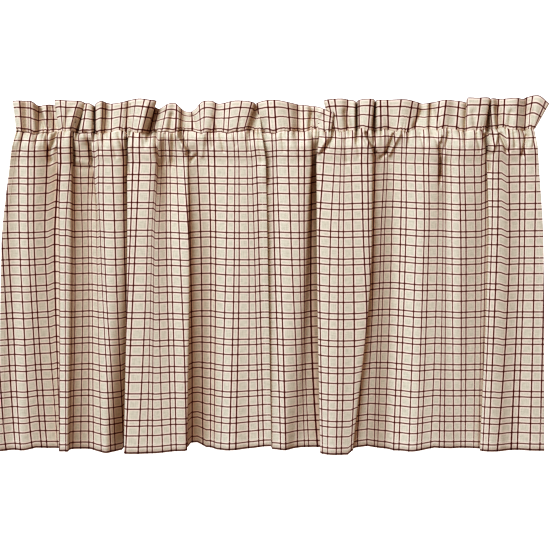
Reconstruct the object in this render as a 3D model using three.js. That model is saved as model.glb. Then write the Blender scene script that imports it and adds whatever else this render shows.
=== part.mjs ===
// A pair of gathered tier curtains as they hang: two checked cloth panels, each with a ruffled
// heading and an empty rod pocket. Millimetres; X runs right along the rod line, Z is up and the
// faces look towards -Y. The origin is the middle of the gather stitch, on top of the rod line.
import * as THREE from "three";

// Cloth and seams
const CLOTH = 2;
const DOUBLED_CLOTH = 3;
const PIECE_GAP = 0.3;
const SEAM_Z = -76;
const HEM_Z = -835;
const SEAM_OUT = 8;

// How much the hem hangs lower at each millimetre that a fold stands out, and how far along the
// rod the heading's ends flare from the stitch to the seam
const HOLLOW_LIFT = 0.03;
const FLARE_REACH = 60;

// How the folds are cut into stations
const PANEL_STATIONS_PER_FOLD_LINE = 3;
const HEADING_STATIONS_PER_FOLD_LINE = 4;
const SKIRT_ROWS = 10;
const MID_SHARE = 0.27;

// One row for each fold line of a panel, from its left edge to its right: where the line hangs
// along the rod, and how far it stands out, at the pocket seam, at mid height and at the hem.
const FOLD_COLUMNS = ["xSeam", "outSeam", "xMid", "outMid", "xHem", "outHem"];
const LEFT_FOLDS = [
  [-663, 10, -690, 13, -713, 14],
  [-644, 4, -657, 5, -678, 5],
  [-618, 13, -630, 10, -654, 12],
  [-593, 10, -612, 8, -633, 8],
  [-562, -6, -576, -5, -593, -4],
  [-545, -10, -551, -11, -559, -6],
  [-539, 12, -541, 5, -556, 13],
  [-508, 12, -518, 7, -534, 22],
  [-506, -5, -508, -6, -530, 6],
  [-489, -9, -489, -18, -509, -10],
  [-470, -14, -469, -24, -479, -22],
  [-457, -19, -455, -18, -458, -14],
  [-455, 2, -440, -4, -437, -2],
  [-425, 11, -418, 11, -424, -10],
  [-380, 9, -385, 9, -400, -36],
  [-362, -22, -356, -8, -376, -52],
  [-366, 9, -368, 18, -384, 28],
  [-337, 17, -340, 22, -356, 34],
  [-294, 17, -312, 21, -325, 33],
  [-286, 4, -288, 14, -293, 32],
  [-266, -14, -265, 6, -258, 29],
  [-216, 4, -212, 17, -222, 24],
  [-212, 0, -211, 4, -224, 2],
  [-190, -9, -185, -9, -198, -22],
  [-168, -8, -160, -16, -166, -34],
  [-146, 0, -140, -6, -140, -15],
  [-111, 5, -112, 5, -110, 7],
  [-81, 8, -77, 10, -58, 1],
  [-15, 8, -11, 9, -1, 4],
];
const RIGHT_FOLDS = [
  [-14, -2, -24, -14, -15, -18],
  [6, 3, 6, 0, 13, 3],
  [33, 13, 36, 13, 33, 9],
  [97, 12, 85, 13, 60, -8],
  [104, -7, 101, -4, 87, -15],
  [120, -20, 128, -14, 146, -10],
  [114, 8, 115, 13, 126, 25],
  [147, 16, 150, 23, 152, 39],
  [202, 16, 205, 25, 186, 36],
  [254, 14, 254, 20, 210, 29],
  [260, 5, 262, 12, 217, 22],
  [285, -8, 284, -9, 255, -1],
  [304, -10, 308, -17, 298, -22],
  [326, -2, 333, -9, 327, -14],
  [385, 13, 381, 11, 366, 0],
  [416, 14, 412, 13, 408, 9],
  [437, 3, 432, 8, 445, 4],
  [447, 0, 451, 5, 471, -2],
  [467, 13, 474, 13, 492, -6],
  [512, 12, 512, 8, 518, -6],
  [536, 7, 540, 4, 537, -2],
  [553, -3, 561, 4, 555, 0],
  [545, 8, 553, 12, 544, 12],
  [563, 15, 568, 17, 568, 19],
  [586, 12, 589, 16, 594, 16],
  [601, 9, 604, 12, 615, 9],
  [626, 6, 630, 7, 641, 5],
  [654, 8, 668, 8, 682, 10],
  [676, 7, 694, 8, 713, 10],
];

// One row for each ruffle fold: where it starts on the gather stitch and how far it stands out
// there, where its top edge ends, how far that edge stands out and how high it reaches.
const RUFFLE_COLUMNS = ["xStitch", "outStitch", "xTop", "outTop", "zTop"];
const LEFT_RUFFLE = [
  [-647, 4, -656, 4, 76],
  [-635, 10, -640, 14, 77],
  [-622, -6, -622, -4, 76],
  [-607, 10, -607, 14, 75],
  [-595, -10, -595, -16, 63],
  [-572, -2, -575, -8, 66],
  [-544, -10, -547, -18, 66],
  [-536, 6, -548, 12, 77],
  [-521, 12, -514, 22, 77],
  [-503, 6, -476, 10, 73],
  [-496, -14, -471, -12, 62],
  [-471, 12, -461, 14, 70],
  [-453, -18, -452, -20, 61],
  [-435, 8, -431, 14, 76],
  [-423, -12, -420, -12, 71],
  [-410, 6, -408, 8, 69],
  [-380, 8, -373, 12, 74],
  [-362, 0, -360, 0, 78],
  [-349, 12, -333, 24, 82],
  [-322, 10, -297, 20, 77],
  [-314, -18, -300, -22, 61],
  [-299, -10, -287, -14, 56],
  [-276, 4, -262, 6, 69],
  [-238, 6, -237, 4, 64],
  [-230, -12, -224, -14, 51],
  [-207, -12, -207, -14, 48],
  [-187, 0, -194, -4, 56],
  [-175, 9, -176, 10, 74],
  [-162, 9, -151, 15, 76],
  [-137, 1, -136, 4, 69],
  [-101, 10, -91, 18, 77],
  [-66, 8, -46, 14, 72],
  [-54, -12, -42, -14, 66],
  [-26, -4, -34, -8, 69],
];
const RIGHT_RUFFLE = [
  [-23, -4, -28, 0, 74],
  [10, 10, 5, 16, 79],
  [51, 6, 45, 8, 72],
  [71, -10, 71, -14, 66],
  [91, 4, 88, -2, 65],
  [101, -8, 101, -10, 63],
  [124, 14, 121, 14, 60],
  [147, 18, 156, 22, 46],
  [151, -8, 149, -14, 58],
  [154, 4, 137, 2, 68],
  [175, 10, 174, 18, 82],
  [192, 2, 194, 8, 79],
  [208, 9, 209, 14, 76],
  [214, -16, 213, -18, 71],
  [233, 10, 234, 18, 81],
  [250, 8, 257, 16, 80],
  [258, -16, 261, -16, 71],
  [276, -9, 267, 10, 79],
  [301, -8, 297, 12, 79],
  [324, 9, 338, 16, 80],
  [359, 2, 368, 4, 73],
  [377, -6, 381, -4, 69],
  [390, 4, 393, 2, 70],
  [402, -8, 406, -10, 71],
  [430, 10, 438, 15, 79],
  [455, 3, 461, 6, 77],
  [478, 5, 484, 6, 74],
  [485, -8, 498, -8, 70],
  [490, 8, 489, 14, 83],
  [511, 13, 517, 22, 84],
  [536, 9, 549, 18, 83],
  [551, -16, 546, -14, 71],
  [562, 4, 555, 8, 82],
  [574, -6, 575, -6, 81],
  [589, 6, 592, 10, 82],
  [612, 10, 615, 16, 84],
  [645, -4, 650, -8, 86],
  [656, 6, 673, 12, 90],
  [665, -2, 701, 8, 69],
];

// One row for each level of the rod pocket, from the seam up to the gather stitch: how far its
// front and back walls stand out, and how much of the seam's folds each of them keeps.
const POCKET_COLUMNS = ["z", "frontOut", "backOut", "frontFolds", "backFolds", "gather"];
const POCKET_LEVELS = [
  [SEAM_Z, SEAM_OUT, SEAM_OUT, 1, 1, 0],
  [-58, 15, -4, 0.9, 0.6, 0.2],
  [-36, 21, -13, 0.55, 0.25, 0.5],
  [-12, 20, -13, 0.5, 0.25, 0.85],
  [0, 2, 2, 0.7, 0.7, 1],
];
const RUFFLE_ROWS = 3;

const CLOTH_LOOK = { color: 0xd9cfb8, roughness: 0.95 };

// Gives each row of a table its columns' names.
function named(columns, rows) {
  return rows.map((row) => Object.fromEntries(columns.map((name, i) => [name, row[i]])));
}

// A smooth curve through three heights that never overshoots them.
function throughHeights(atSeam, atMid, atHem, share) {
  const slopeAbove = (atMid - atSeam) / MID_SHARE;
  const slopeBelow = (atHem - atMid) / (1 - MID_SHARE);
  const turns = slopeAbove * slopeBelow <= 0;
  const slopeMid = turns ? 0 : (2 * slopeAbove * slopeBelow) / (slopeAbove + slopeBelow);
  const upper = share < MID_SHARE;
  const span = upper ? MID_SHARE : 1 - MID_SHARE;
  const s = upper ? share / span : (share - MID_SHARE) / span;
  const from = upper ? atSeam : atMid;
  const to = upper ? atMid : atHem;
  const leave = (upper ? slopeAbove : slopeMid) * span;
  const arrive = (upper ? slopeMid : slopeBelow) * span;
  const rise = s * s * (3 - 2 * s);
  return from + (to - from) * rise + leave * s * (1 - s) * (1 - s) - arrive * s * s * (1 - s);
}

// The panel's cross-section at a share of its height below the seam, as stations on a spline.
function foldSection(folds, share, stations) {
  const points = folds.map((row) => {
    const x = throughHeights(row.xSeam, row.xMid, row.xHem, share);
    const out = throughHeights(row.outSeam, row.outMid, row.outHem, share);
    return new THREE.Vector3(x, -out - SEAM_OUT * (1 - share), 0);
  });
  const spline = new THREE.CatmullRomCurve3(points, false, "centripetal");
  return spline.getPoints((folds.length - 1) * stations);
}

// Unit normals of a grid of points, facing the front, from the differences along rows and columns.
function gridNormals(grid) {
  const last = grid.length - 1;
  return grid.map((row, i) =>
    row.map((_, j) => {
      const across = row[Math.min(j + 1, row.length - 1)].clone().sub(row[Math.max(j - 1, 0)]);
      const up = grid[Math.min(i + 1, last)][j].clone().sub(grid[Math.max(i - 1, 0)][j]);
      return across.cross(up).normalize();
    }),
  );
}

// A grid moved along its normals by a distance.
function offsetGrid(grid, normals, distance) {
  return grid.map((row, i) => row.map((p, j) => p.clone().addScaledVector(normals[i][j], distance)));
}

// Collects triangles by point, so neighbouring faces share exact corners.
class Shell {
  positions = [];
  triangle(a, b, c) {
    for (const p of [a, b, c]) this.positions.push(p.x, p.y, p.z);
  }
  quad(a, b, c, d) {
    this.triangle(a, b, c);
    this.triangle(a, c, d);
  }
  // Quads between neighbouring points of two lines; the first line is on the left.
  strip(left, right) {
    for (let i = 0; i + 1 < left.length; i++) this.quad(left[i], right[i], right[i + 1], left[i + 1]);
  }
  mesh(name, look) {
    const geometry = new THREE.BufferGeometry();
    geometry.setAttribute("position", new THREE.Float32BufferAttribute(this.positions, 3));
    geometry.computeVertexNormals();
    const mesh = new THREE.Mesh(geometry, new THREE.MeshStandardMaterial(look));
    mesh.name = name;
    return mesh;
  }
}

// A panel's skirt: its section swept from the seam to the hem and thickened.
function skirt(name, folds, look) {
  const grid = [];
  for (let i = 0; i <= SKIRT_ROWS; i++) {
    const share = 1 - i / SKIRT_ROWS;
    const z = HEM_Z + (SEAM_Z - PIECE_GAP - HEM_Z) * (1 - share);
    const section = foldSection(folds, share, PANEL_STATIONS_PER_FOLD_LINE);
    grid.push(section.map((p) => p.setZ(z + HOLLOW_LIFT * share * p.y)));
  }
  const normals = gridNormals(grid);
  for (const row of normals) for (const n of row) n.setZ(0).normalize();
  const front = offsetGrid(grid, normals, CLOTH / 2);
  const back = offsetGrid(grid, normals, -CLOTH / 2);
  const shell = new Shell();
  for (let i = 0; i < SKIRT_ROWS; i++) {
    shell.strip(front[i + 1], front[i]);
    shell.strip(back[i], back[i + 1]);
  }
  shell.strip(front[0], back[0]);
  shell.strip(back[SKIRT_ROWS], front[SKIRT_ROWS]);
  const column = (g, j) => g.map((row) => row[j]);
  const end = grid[0].length - 1;
  shell.strip(column(back, 0), column(front, 0));
  shell.strip(column(front, end), column(back, end));
  return shell.mesh(name, look);
}

// The value of one column of a table at a place along another column, on a smooth curve.
function alongTable(rows, placeName, valueName, place) {
  const last = rows.length - 2;
  let i = rows.findIndex((row) => row[placeName] > place) - 1;
  if (i < 0) i = place <= rows[0][placeName] ? 0 : last;
  const from = rows[i];
  const to = rows[i + 1];
  const s = THREE.MathUtils.clamp((place - from[placeName]) / (to[placeName] - from[placeName]), 0, 1);
  return THREE.MathUtils.lerp(from[valueName], to[valueName], s * s * (3 - 2 * s));
}

// A heading: the ruffle above the gather stitch, and below it the front and back of the rod
// pocket, joined at the stitch and at the seam and open at both ends.
function heading(name, folds, ruffle, look) {
  const seam = foldSection(folds, 0, HEADING_STATIONS_PER_FOLD_LINE);
  const levels = named(POCKET_COLUMNS, POCKET_LEVELS);
  const firstFold = ruffle[0];
  const lastFold = ruffle[ruffle.length - 1];
  const seamLeft = seam[0].x;
  const seamRight = seam[seam.length - 1].x;
  const stitchX = seam.map((p) => {
    const leftFlare = (firstFold.xStitch - seamLeft) * Math.exp((seamLeft - p.x) / FLARE_REACH);
    const rightFlare = (lastFold.xStitch - seamRight) * Math.exp((p.x - seamRight) / FLARE_REACH);
    return p.x + leftFlare + rightFlare;
  });
  const stitchOut = stitchX.map((x) => alongTable(ruffle, "xStitch", "outStitch", x));
  const wall = (side) =>
    levels.map((level) =>
      seam.map((p, j) => {
        const x = THREE.MathUtils.lerp(p.x, stitchX[j], level.gather);
        const nearStitch = THREE.MathUtils.clamp(2 * level.gather - 1, 0, 1);
        const fold = THREE.MathUtils.lerp(-p.y - SEAM_OUT, stitchOut[j], nearStitch);
        return new THREE.Vector3(x, -level[side + "Out"] - fold * level[side + "Folds"], level.z);
      }),
    );
  const frontWall = wall("front");
  const backWall = wall("back");
  const stitch = frontWall[frontWall.length - 1];
  const frill = [stitch];
  for (let m = 1; m <= RUFFLE_ROWS; m++) {
    const s = m / RUFFLE_ROWS;
    frill.push(
      stitch.map((p, j) => {
        const x = THREE.MathUtils.lerp(p.x, alongTable(ruffle, "xStitch", "xTop", stitchX[j]), s);
        const out = alongTable(ruffle, "xStitch", "outTop", stitchX[j]);
        const z = alongTable(ruffle, "xStitch", "zTop", stitchX[j]) * s;
        return new THREE.Vector3(x, THREE.MathUtils.lerp(p.y, -out, s * (2 - s)), z);
      }),
    );
  }
  const half = CLOTH / 2;
  const flatNormals = (grid) => {
    const normals = gridNormals(grid);
    for (const n of [...normals[0], ...normals[normals.length - 1]]) n.setZ(0).normalize();
    return normals;
  };
  const frontNormals = flatNormals(frontWall);
  const backNormals = flatNormals(backWall);
  const frillNormals = flatNormals(frill);
  const top = levels.length - 1;
  const outerFront = offsetGrid(frontWall, frontNormals, half);
  const innerFront = offsetGrid(frontWall, frontNormals, -half);
  const outerBack = offsetGrid(backWall, backNormals, -half);
  const innerBack = offsetGrid(backWall, backNormals, half);
  const frillFront = offsetGrid(frill, frillNormals, DOUBLED_CLOTH / 2);
  const frillBack = offsetGrid(frill, frillNormals, -DOUBLED_CLOTH / 2);
  outerFront[top] = frillFront[0];
  outerBack[top] = frillBack[0];
  const shell = new Shell();
  const outer = [...outerFront, ...frillFront.slice(1), ...frillBack.slice(1).reverse()];
  outer.push(...outerBack.slice().reverse());
  outer.push(outerFront[0]);
  for (let i = 0; i + 1 < outer.length; i++) shell.strip(outer[i + 1], outer[i]);
  const inner = [...innerFront.slice(1, top), ...innerBack.slice(1, top).reverse(), innerFront[1]];
  for (let i = 0; i + 1 < inner.length; i++) shell.strip(inner[i], inner[i + 1]);
  const end = seam.length - 1;
  for (const j of [0, end]) {
    const cap = [];
    const at = (grid, i) => grid[i][j];
    for (let k = 1; k + 1 < top; k++) {
      cap.push([at(innerFront, k), at(innerFront, k + 1), at(outerFront, k + 1), at(outerFront, k)]);
      cap.push([at(outerBack, k), at(outerBack, k + 1), at(innerBack, k + 1), at(innerBack, k)]);
    }
    for (let m = 0; m < RUFFLE_ROWS; m++)
      cap.push([at(frillBack, m), at(frillBack, m + 1), at(frillFront, m + 1), at(frillFront, m)]);
    const under = top - 1;
    cap.push([at(innerFront, under), at(outerFront, top), at(outerFront, under)]);
    cap.push([at(innerFront, under), at(innerBack, under), at(outerBack, top), at(outerFront, top)]);
    cap.push([at(innerBack, under), at(outerBack, under), at(outerBack, top)]);
    cap.push([at(innerFront, 1), at(outerFront, 1), at(outerFront, 0)]);
    cap.push([at(innerFront, 1), at(outerFront, 0), at(outerBack, 0), at(innerBack, 1)]);
    cap.push([at(innerBack, 1), at(outerBack, 0), at(outerBack, 1)]);
    for (const corners of cap) {
      const turned = j === 0 ? corners.slice().reverse() : corners;
      if (turned.length === 3) shell.triangle(...turned);
      else shell.quad(...turned);
    }
  }
  return shell.mesh(name, look);
}

const leftFolds = named(FOLD_COLUMNS, LEFT_FOLDS);
const rightFolds = named(FOLD_COLUMNS, RIGHT_FOLDS);
const curtains = new THREE.Group();
curtains.add(skirt("left_panel", leftFolds, CLOTH_LOOK));
curtains.add(skirt("right_panel", rightFolds, CLOTH_LOOK));
curtains.add(heading("left_heading", leftFolds, named(RUFFLE_COLUMNS, LEFT_RUFFLE), CLOTH_LOOK));
curtains.add(heading("right_heading", rightFolds, named(RUFFLE_COLUMNS, RIGHT_RUFFLE), CLOTH_LOOK));

export default curtains;
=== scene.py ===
"""A pair of gathered tier curtains in windowpane-check cloth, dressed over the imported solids."""

import bpy
import numpy as np
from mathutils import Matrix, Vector


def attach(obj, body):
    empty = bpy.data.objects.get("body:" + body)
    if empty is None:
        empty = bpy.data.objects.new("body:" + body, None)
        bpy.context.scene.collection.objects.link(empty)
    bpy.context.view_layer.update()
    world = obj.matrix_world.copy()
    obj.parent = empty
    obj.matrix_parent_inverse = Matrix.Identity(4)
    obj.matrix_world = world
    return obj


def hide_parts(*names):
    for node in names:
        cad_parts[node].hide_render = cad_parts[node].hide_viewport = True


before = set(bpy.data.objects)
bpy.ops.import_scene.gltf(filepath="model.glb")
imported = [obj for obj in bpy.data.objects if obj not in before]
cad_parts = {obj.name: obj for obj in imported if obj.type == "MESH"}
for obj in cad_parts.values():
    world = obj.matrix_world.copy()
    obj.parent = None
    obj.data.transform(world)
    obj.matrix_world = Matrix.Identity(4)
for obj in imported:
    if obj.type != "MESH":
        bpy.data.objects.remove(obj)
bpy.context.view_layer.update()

bl_info = {
    "name": "Tier curtain pair",
    "version": (1, 0, 0),
    "blender": (4, 5, 0),
    "location": "View3D > Sidebar > Tier Curtains",
    "description": "Builds a pair of gathered tier curtains with ruffled headings and rod pockets",
    "category": "Add Mesh",
}

MM = 0.001

# Heights of the pocket seam and the hem from the gather stitch, how far the seam stands out, in
# millimetres, and where the tables' middle height lies as a share of the way from seam to hem.
SEAM_Z = -76.0
HEM_Z = -835.0
SEAM_OUT = 8.0
MID_SHARE = 0.27

# One row for each fold line of a panel, left to right: where it hangs along the rod and how far
# it stands out, at the pocket seam, at mid height and at the hem, in millimetres.
LEFT_FOLDS = np.array([
    [-663, 10, -690, 13, -713, 14],
    [-644, 4, -657, 5, -678, 5],
    [-618, 13, -630, 10, -654, 12],
    [-593, 10, -612, 8, -633, 8],
    [-562, -6, -576, -5, -593, -4],
    [-545, -10, -551, -11, -559, -6],
    [-539, 12, -541, 5, -556, 13],
    [-508, 12, -518, 7, -534, 22],
    [-506, -5, -508, -6, -530, 6],
    [-489, -9, -489, -18, -509, -10],
    [-470, -14, -469, -24, -479, -22],
    [-457, -19, -455, -18, -458, -14],
    [-455, 2, -440, -4, -437, -2],
    [-425, 11, -418, 11, -424, -10],
    [-380, 9, -385, 9, -400, -36],
    [-362, -22, -356, -8, -376, -52],
    [-366, 9, -368, 18, -384, 28],
    [-337, 17, -340, 22, -356, 34],
    [-294, 17, -312, 21, -325, 33],
    [-286, 4, -288, 14, -293, 32],
    [-266, -14, -265, 6, -258, 29],
    [-216, 4, -212, 17, -222, 24],
    [-212, 0, -211, 4, -224, 2],
    [-190, -9, -185, -9, -198, -22],
    [-168, -8, -160, -16, -166, -34],
    [-146, 0, -140, -6, -140, -15],
    [-111, 5, -112, 5, -110, 7],
    [-81, 8, -77, 10, -58, 1],
    [-15, 8, -11, 9, -1, 4],
], dtype=float)
RIGHT_FOLDS = np.array([
    [-34, 3, -38, 2, -30, 0],
    [-12, 4, -18, 3, -10, 0],
    [6, 3, 6, 0, 13, 3],
    [33, 13, 36, 13, 33, 9],
    [97, 12, 85, 13, 60, -8],
    [104, -7, 101, -4, 87, -15],
    [120, -24, 128, -14, 146, -10],
    [114, 8, 115, 13, 126, 25],
    [147, 16, 150, 23, 152, 39],
    [202, 16, 205, 25, 186, 36],
    [254, 14, 254, 20, 210, 29],
    [255, 5, 253, 10, 208, 20],
    [284, -7, 283, -7, 255, 0],
    [306, -11, 315, -17, 307, -22],
    [328, -3, 338, -10, 334, -16],
    [385, 13, 381, 10, 371, 5],
    [416, 14, 412, 9, 408, 4],
    [437, 4, 434, 6, 445, 2],
    [447, 0, 451, 5, 471, -2],
    [467, 13, 474, 13, 492, -6],
    [512, 12, 512, 8, 518, -6],
    [536, 7, 540, 2, 537, -4],
    [553, -3, 561, 4, 555, 0],
    [545, 8, 553, 12, 544, 12],
    [563, 15, 568, 17, 568, 19],
    [586, 12, 589, 16, 594, 16],
    [601, 9, 604, 12, 615, 9],
    [626, 6, 630, 7, 641, 5],
    [654, 8, 668, 8, 682, 10],
    [676, 7, 694, 8, 713, 10],
], dtype=float)

# One row for each ruffle fold: its place along the gather stitch and how far it stands out there,
# its place along the top edge, how far that edge stands out and how high it reaches, in millimetres.
LEFT_RUFFLE = np.array([
    [-647, 4, -656, 4, 76],
    [-635, 10, -640, 14, 77],
    [-622, -6, -622, -4, 76],
    [-607, 10, -607, 14, 75],
    [-598, 6, -601, 8, 71],
    [-595, -10, -595, -16, 63],
    [-572, -2, -575, -8, 66],
    [-544, -10, -547, -18, 66],
    [-536, 6, -548, 12, 77],
    [-521, 12, -514, 22, 77],
    [-503, 6, -476, 10, 73],
    [-496, -24, -471, -20, 62],
    [-488, 4, -474, 6, 68],
    [-471, 12, -461, 14, 70],
    [-457, 8, -454, 10, 66],
    [-453, -27, -452, -27, 61],
    [-445, 2, -446, 4, 68],
    [-435, 8, -431, 14, 76],
    [-423, -12, -420, -12, 71],
    [-410, 6, -408, 8, 69],
    [-380, 8, -373, 12, 74],
    [-362, 0, -360, 0, 78],
    [-349, 12, -333, 24, 82],
    [-329, 14, -307, 26, 79],
    [-322, 6, -292, 14, 76],
    [-314, -28, -300, -30, 61],
    [-299, -10, -287, -14, 56],
    [-276, 4, -262, 6, 69],
    [-253, -2, -247, 2, 71],
    [-238, 6, -237, 4, 64],
    [-230, -12, -224, -14, 51],
    [-207, -12, -207, -14, 48],
    [-187, 0, -194, -4, 56],
    [-175, 9, -176, 10, 74],
    [-162, 9, -151, 15, 76],
    [-137, 1, -136, 4, 69],
    [-101, 10, -91, 18, 77],
    [-66, 8, -46, 14, 72],
    [-54, -12, -42, -14, 66],
    [-26, -4, -34, -8, 69],
], dtype=float)
RIGHT_RUFFLE = np.array([
    [-40, -12, -46, -18, 66],
    [-22, -4, -30, 0, 74],
    [10, 10, 5, 16, 79],
    [51, 6, 45, 8, 72],
    [71, -10, 71, -14, 66],
    [91, 4, 88, -2, 65],
    [101, -8, 101, -10, 63],
    [124, 14, 121, 14, 60],
    [149, 18, 156, 22, 46],
    [144, -10, 141, -14, 66],
    [154, 4, 131, 2, 76],
    [175, 10, 174, 18, 82],
    [192, 2, 194, 8, 79],
    [208, 9, 209, 14, 76],
    [214, -26, 213, -26, 71],
    [221, 2, 220, 8, 78],
    [233, 10, 234, 18, 81],
    [250, 8, 257, 16, 80],
    [258, -27, 261, -26, 71],
    [268, -6, 266, 8, 78],
    [279, -6, 276, 12, 79],
    [301, -8, 297, 12, 79],
    [324, 9, 338, 16, 80],
    [359, 2, 368, 4, 73],
    [377, -6, 381, -4, 69],
    [390, 4, 393, 2, 70],
    [402, -8, 406, -10, 71],
    [417, 6, 423, 8, 76],
    [430, 10, 438, 15, 79],
    [455, 3, 461, 6, 77],
    [478, 5, 484, 6, 74],
    [491, -8, 498, -8, 70],
    [488, 8, 489, 14, 83],
    [511, 13, 517, 22, 84],
    [536, 9, 549, 18, 83],
    [551, -26, 546, -24, 71],
    [562, 4, 555, 8, 82],
    [574, -6, 575, -6, 81],
    [589, 6, 592, 10, 82],
    [612, 10, 615, 16, 84],
    [632, 2, 638, 2, 81],
    [645, -4, 650, -8, 86],
    [656, 6, 673, 12, 90],
    [665, -2, 701, 8, 69],
], dtype=float)

# One row for each crease: where it starts and ends along the rod and in height, how far it reaches
# to each side, and how far it stands out (a ridge) or in (a trough), in millimetres.
LEFT_CREASES = np.array([
    [-630, -5, -635, -50, 4, -3],
    [-599, -5, -597, -42, 4, -4],
    [-574, -8, -564, -75, 5, -9],
    [-549, -8, -564, -47, 5, -12],
    [-536, -5, -551, -42, 5, 5],
    [-498, -75, -467, -83, 5, 6],
    [-495, -88, -467, -91, 4, -6],
    [-470, -5, -457, -75, 5, -8],
    [-442, -5, -434, -49, 4, -5],
    [-427, -5, -422, -39, 4, -4],
    [-404, -5, -394, -65, 4, -4],
    [-389, -5, -373, -55, 4, -5],
    [-345, -8, -351, -50, 4, -4],
    [-328, -5, -320, -39, 4, -4],
    [-297, -2, -289, -62, 4, -8],
    [-272, -8, -279, -88, 6, -7],
    [-259, -8, -264, -75, 5, 5],
    [-249, -8, -254, -88, 5, -6],
    [-239, -8, -218, -52, 5, 11],
    [-234, -5, -211, -55, 5, -16],
    [-216, -60, -206, -73, 4, -5],
    [-206, -73, -190, -60, 4, -5],
    [-173, -8, -178, -62, 5, 5],
    [-152, -5, -150, -39, 4, -4],
    [-130, -8, -122, -50, 4, -5],
    [-99, -5, -91, -36, 4, -4],
    [-63, -5, -58, -50, 4, -4],
    [-36, -8, -25, -75, 5, -5],
    [-595, 58, -577, 8, 6, -7],
    [-579, 48, -569, 13, 5, 5],
    [-564, 58, -549, 8, 6, -6],
    [-513, 48, -523, 10, 6, -6],
    [-493, 58, -508, 13, 6, 6],
    [-315, 63, -330, 0, 6, 8],
    [-272, 48, -279, 8, 6, -5],
    [-254, 40, -259, 5, 6, -6],
    [-203, 38, -193, 3, 6, -5],
    [-147, 33, -137, 3, 5, -4],
    [-81, 28, -76, 0, 5, -4],
    [-20, 4, -18, -112, 14, 6],
    [-504, -4, -505, -84, 3.5, -13],
    [-369, -20, -364, -112, 3.5, -12],
], dtype=float)
RIGHT_CREASES = np.array([
    [-30, 16, -34, -120, 21, -9],
    [425, -30, 429, -112, 3.5, -9],
    [544, -14, 552, -104, 3.5, -9],
    [25, -8, 30, -50, 4, -4],
    [61, -5, 71, -75, 5, -4],
    [81, -8, 94, -88, 5, -1],
    [117, -52, 135, -21, 5, 8],
    [127, -52, 142, -26, 4, -5],
    [137, -44, 155, -8, 5, -6],
    [185, -23, 190, -75, 6, -4],
    [211, -8, 221, -62, 5, -4],
    [229, -8, 254, -52, 5, 11],
    [239, -5, 262, -55, 5, -15],
    [320, -8, 297, -57, 5, 10],
    [310, -8, 292, -55, 5, -13],
    [264, -55, 277, -68, 4, -5],
    [277, -68, 290, -57, 4, -5],
    [348, -5, 343, -44, 4, -4],
    [376, -8, 386, -50, 4, -4],
    [409, -5, 424, -50, 5, -5],
    [447, -5, 434, -55, 5, -6],
    [431, -15, 427, -130, 4, -7],
    [483, -5, 488, -39, 4, -4],
    [516, -8, 526, -50, 4, -4],
    [538, -10, 549, -55, 5, -12],
    [569, -3, 554, -50, 5, 8],
    [579, -8, 594, -50, 5, -12],
    [612, -5, 615, -39, 4, -5],
    [645, -13, 635, -60, 5, -10],
    [663, -5, 660, -39, 4, -4],
    [102, 46, 94, 3, 6, -8],
    [122, 48, 104, 18, 6, 5],
    [185, 48, 196, 10, 7, -8],
    [378, 48, 361, 10, 6, -8],
    [406, 66, 422, 8, 6, -6],
    [571, 58, 579, 10, 6, -7],
    [604, 48, 599, 10, 6, -6],
    [508, 48, 513, 8, 6, -4],
    [655, 53, 660, 8, 5, -6],
], dtype=float)

# One row for each place that fixes where the check lies on a panel: how many repeats across the cloth
# it is, and where it hangs at the pocket seam, at mid height and at the hem, in millimetres. Whole
# numbers are single lines, .364 and .577 are a pair's two lines, and 2.5 lies between a pair's.
LEFT_LINES = np.array([
    [1, -642, -645, -628],
    [2, -572, -583, -564],
    [2.364, -545, -560, -559],
    [2.577, -532, -544, -554],
    [3, -509, -528, -537],
    [4, -489, -489, -505],
    [5, -449, -452, -450],
    [5.364, -438, -440, -425],
    [6, -404, -400, -396],
    [7.577, -333, -347, -380],
    [8, -304, -316, -347],
    [9, -281, -289, -284],
    [10, -243, -235, -223],
    [11, -190, -183, -183],
    [12, -111, -116, -135],
    [13, -62, -59, -61],
    [13.364, -50, -45, -34],
    [13.577, -39, -33, -22],
], dtype=float)
RIGHT_LINES = np.array([
    [0.364, 3, 6, 23],
    [0.577, 12, 20, 36],
    [1, 42, 50, 67],
    [2, 102, 99, 120],
    [2.5, 126, 116, 127],
    [2.577, 131, 121, 132],
    [3, 159, 149, 144],
    [4, 200, 206, 205],
    [4.364, 227, 233, 212],
    [5.364, 287, 280, 270],
    [6, 311, 308, 298],
    [7, 363, 369, 360],
    [8, 421, 424, 416],
    [9, 454, 460, 478],
    [10, 511, 522, 531],
    [11.364, 559, 560, 550],
    [11.577, 573, 574, 564],
    [12, 600, 607, 587],
    [12.364, 629, 633, 627],
    [13, 668, 672, 675],
], dtype=float)

# How far the gather has lifted the check's level lines at the pocket seam, by repeats across the
# cloth, in millimetres. The lift fades to nothing at the hem.
LEFT_LIFTS = np.array([
    [0.3, -7],
    [2.1, -6],
    [2.3, 2],
    [3.1, 3],
    [3.5, -6],
    [4.0, -8],
    [5.1, -8],
    [5.3, -4],
    [6.5, -4],
    [7.3, 4],
    [8.4, 4],
    [8.7, -6],
    [10.0, -7],
    [13.35, -7],
    [13.65, -3.5],
], dtype=float)
RIGHT_LIFTS = np.array([
    [0.1, -9.5],
    [0.35, -7],
    [0.7, -5],
    [1.6, -5],
    [2.2, -4],
    [2.4, 4],
    [3.0, 1],
    [3.6, 0],
    [4.3, 2],
    [5.6, 3],
    [6.2, 2],
    [7.5, 1],
    [8.2, 0],
    [8.8, -3],
    [10.3, -3],
    [10.9, 8],
    [11.7, 8],
    [11.9, -2],
    [13.3, 0],
], dtype=float)

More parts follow.
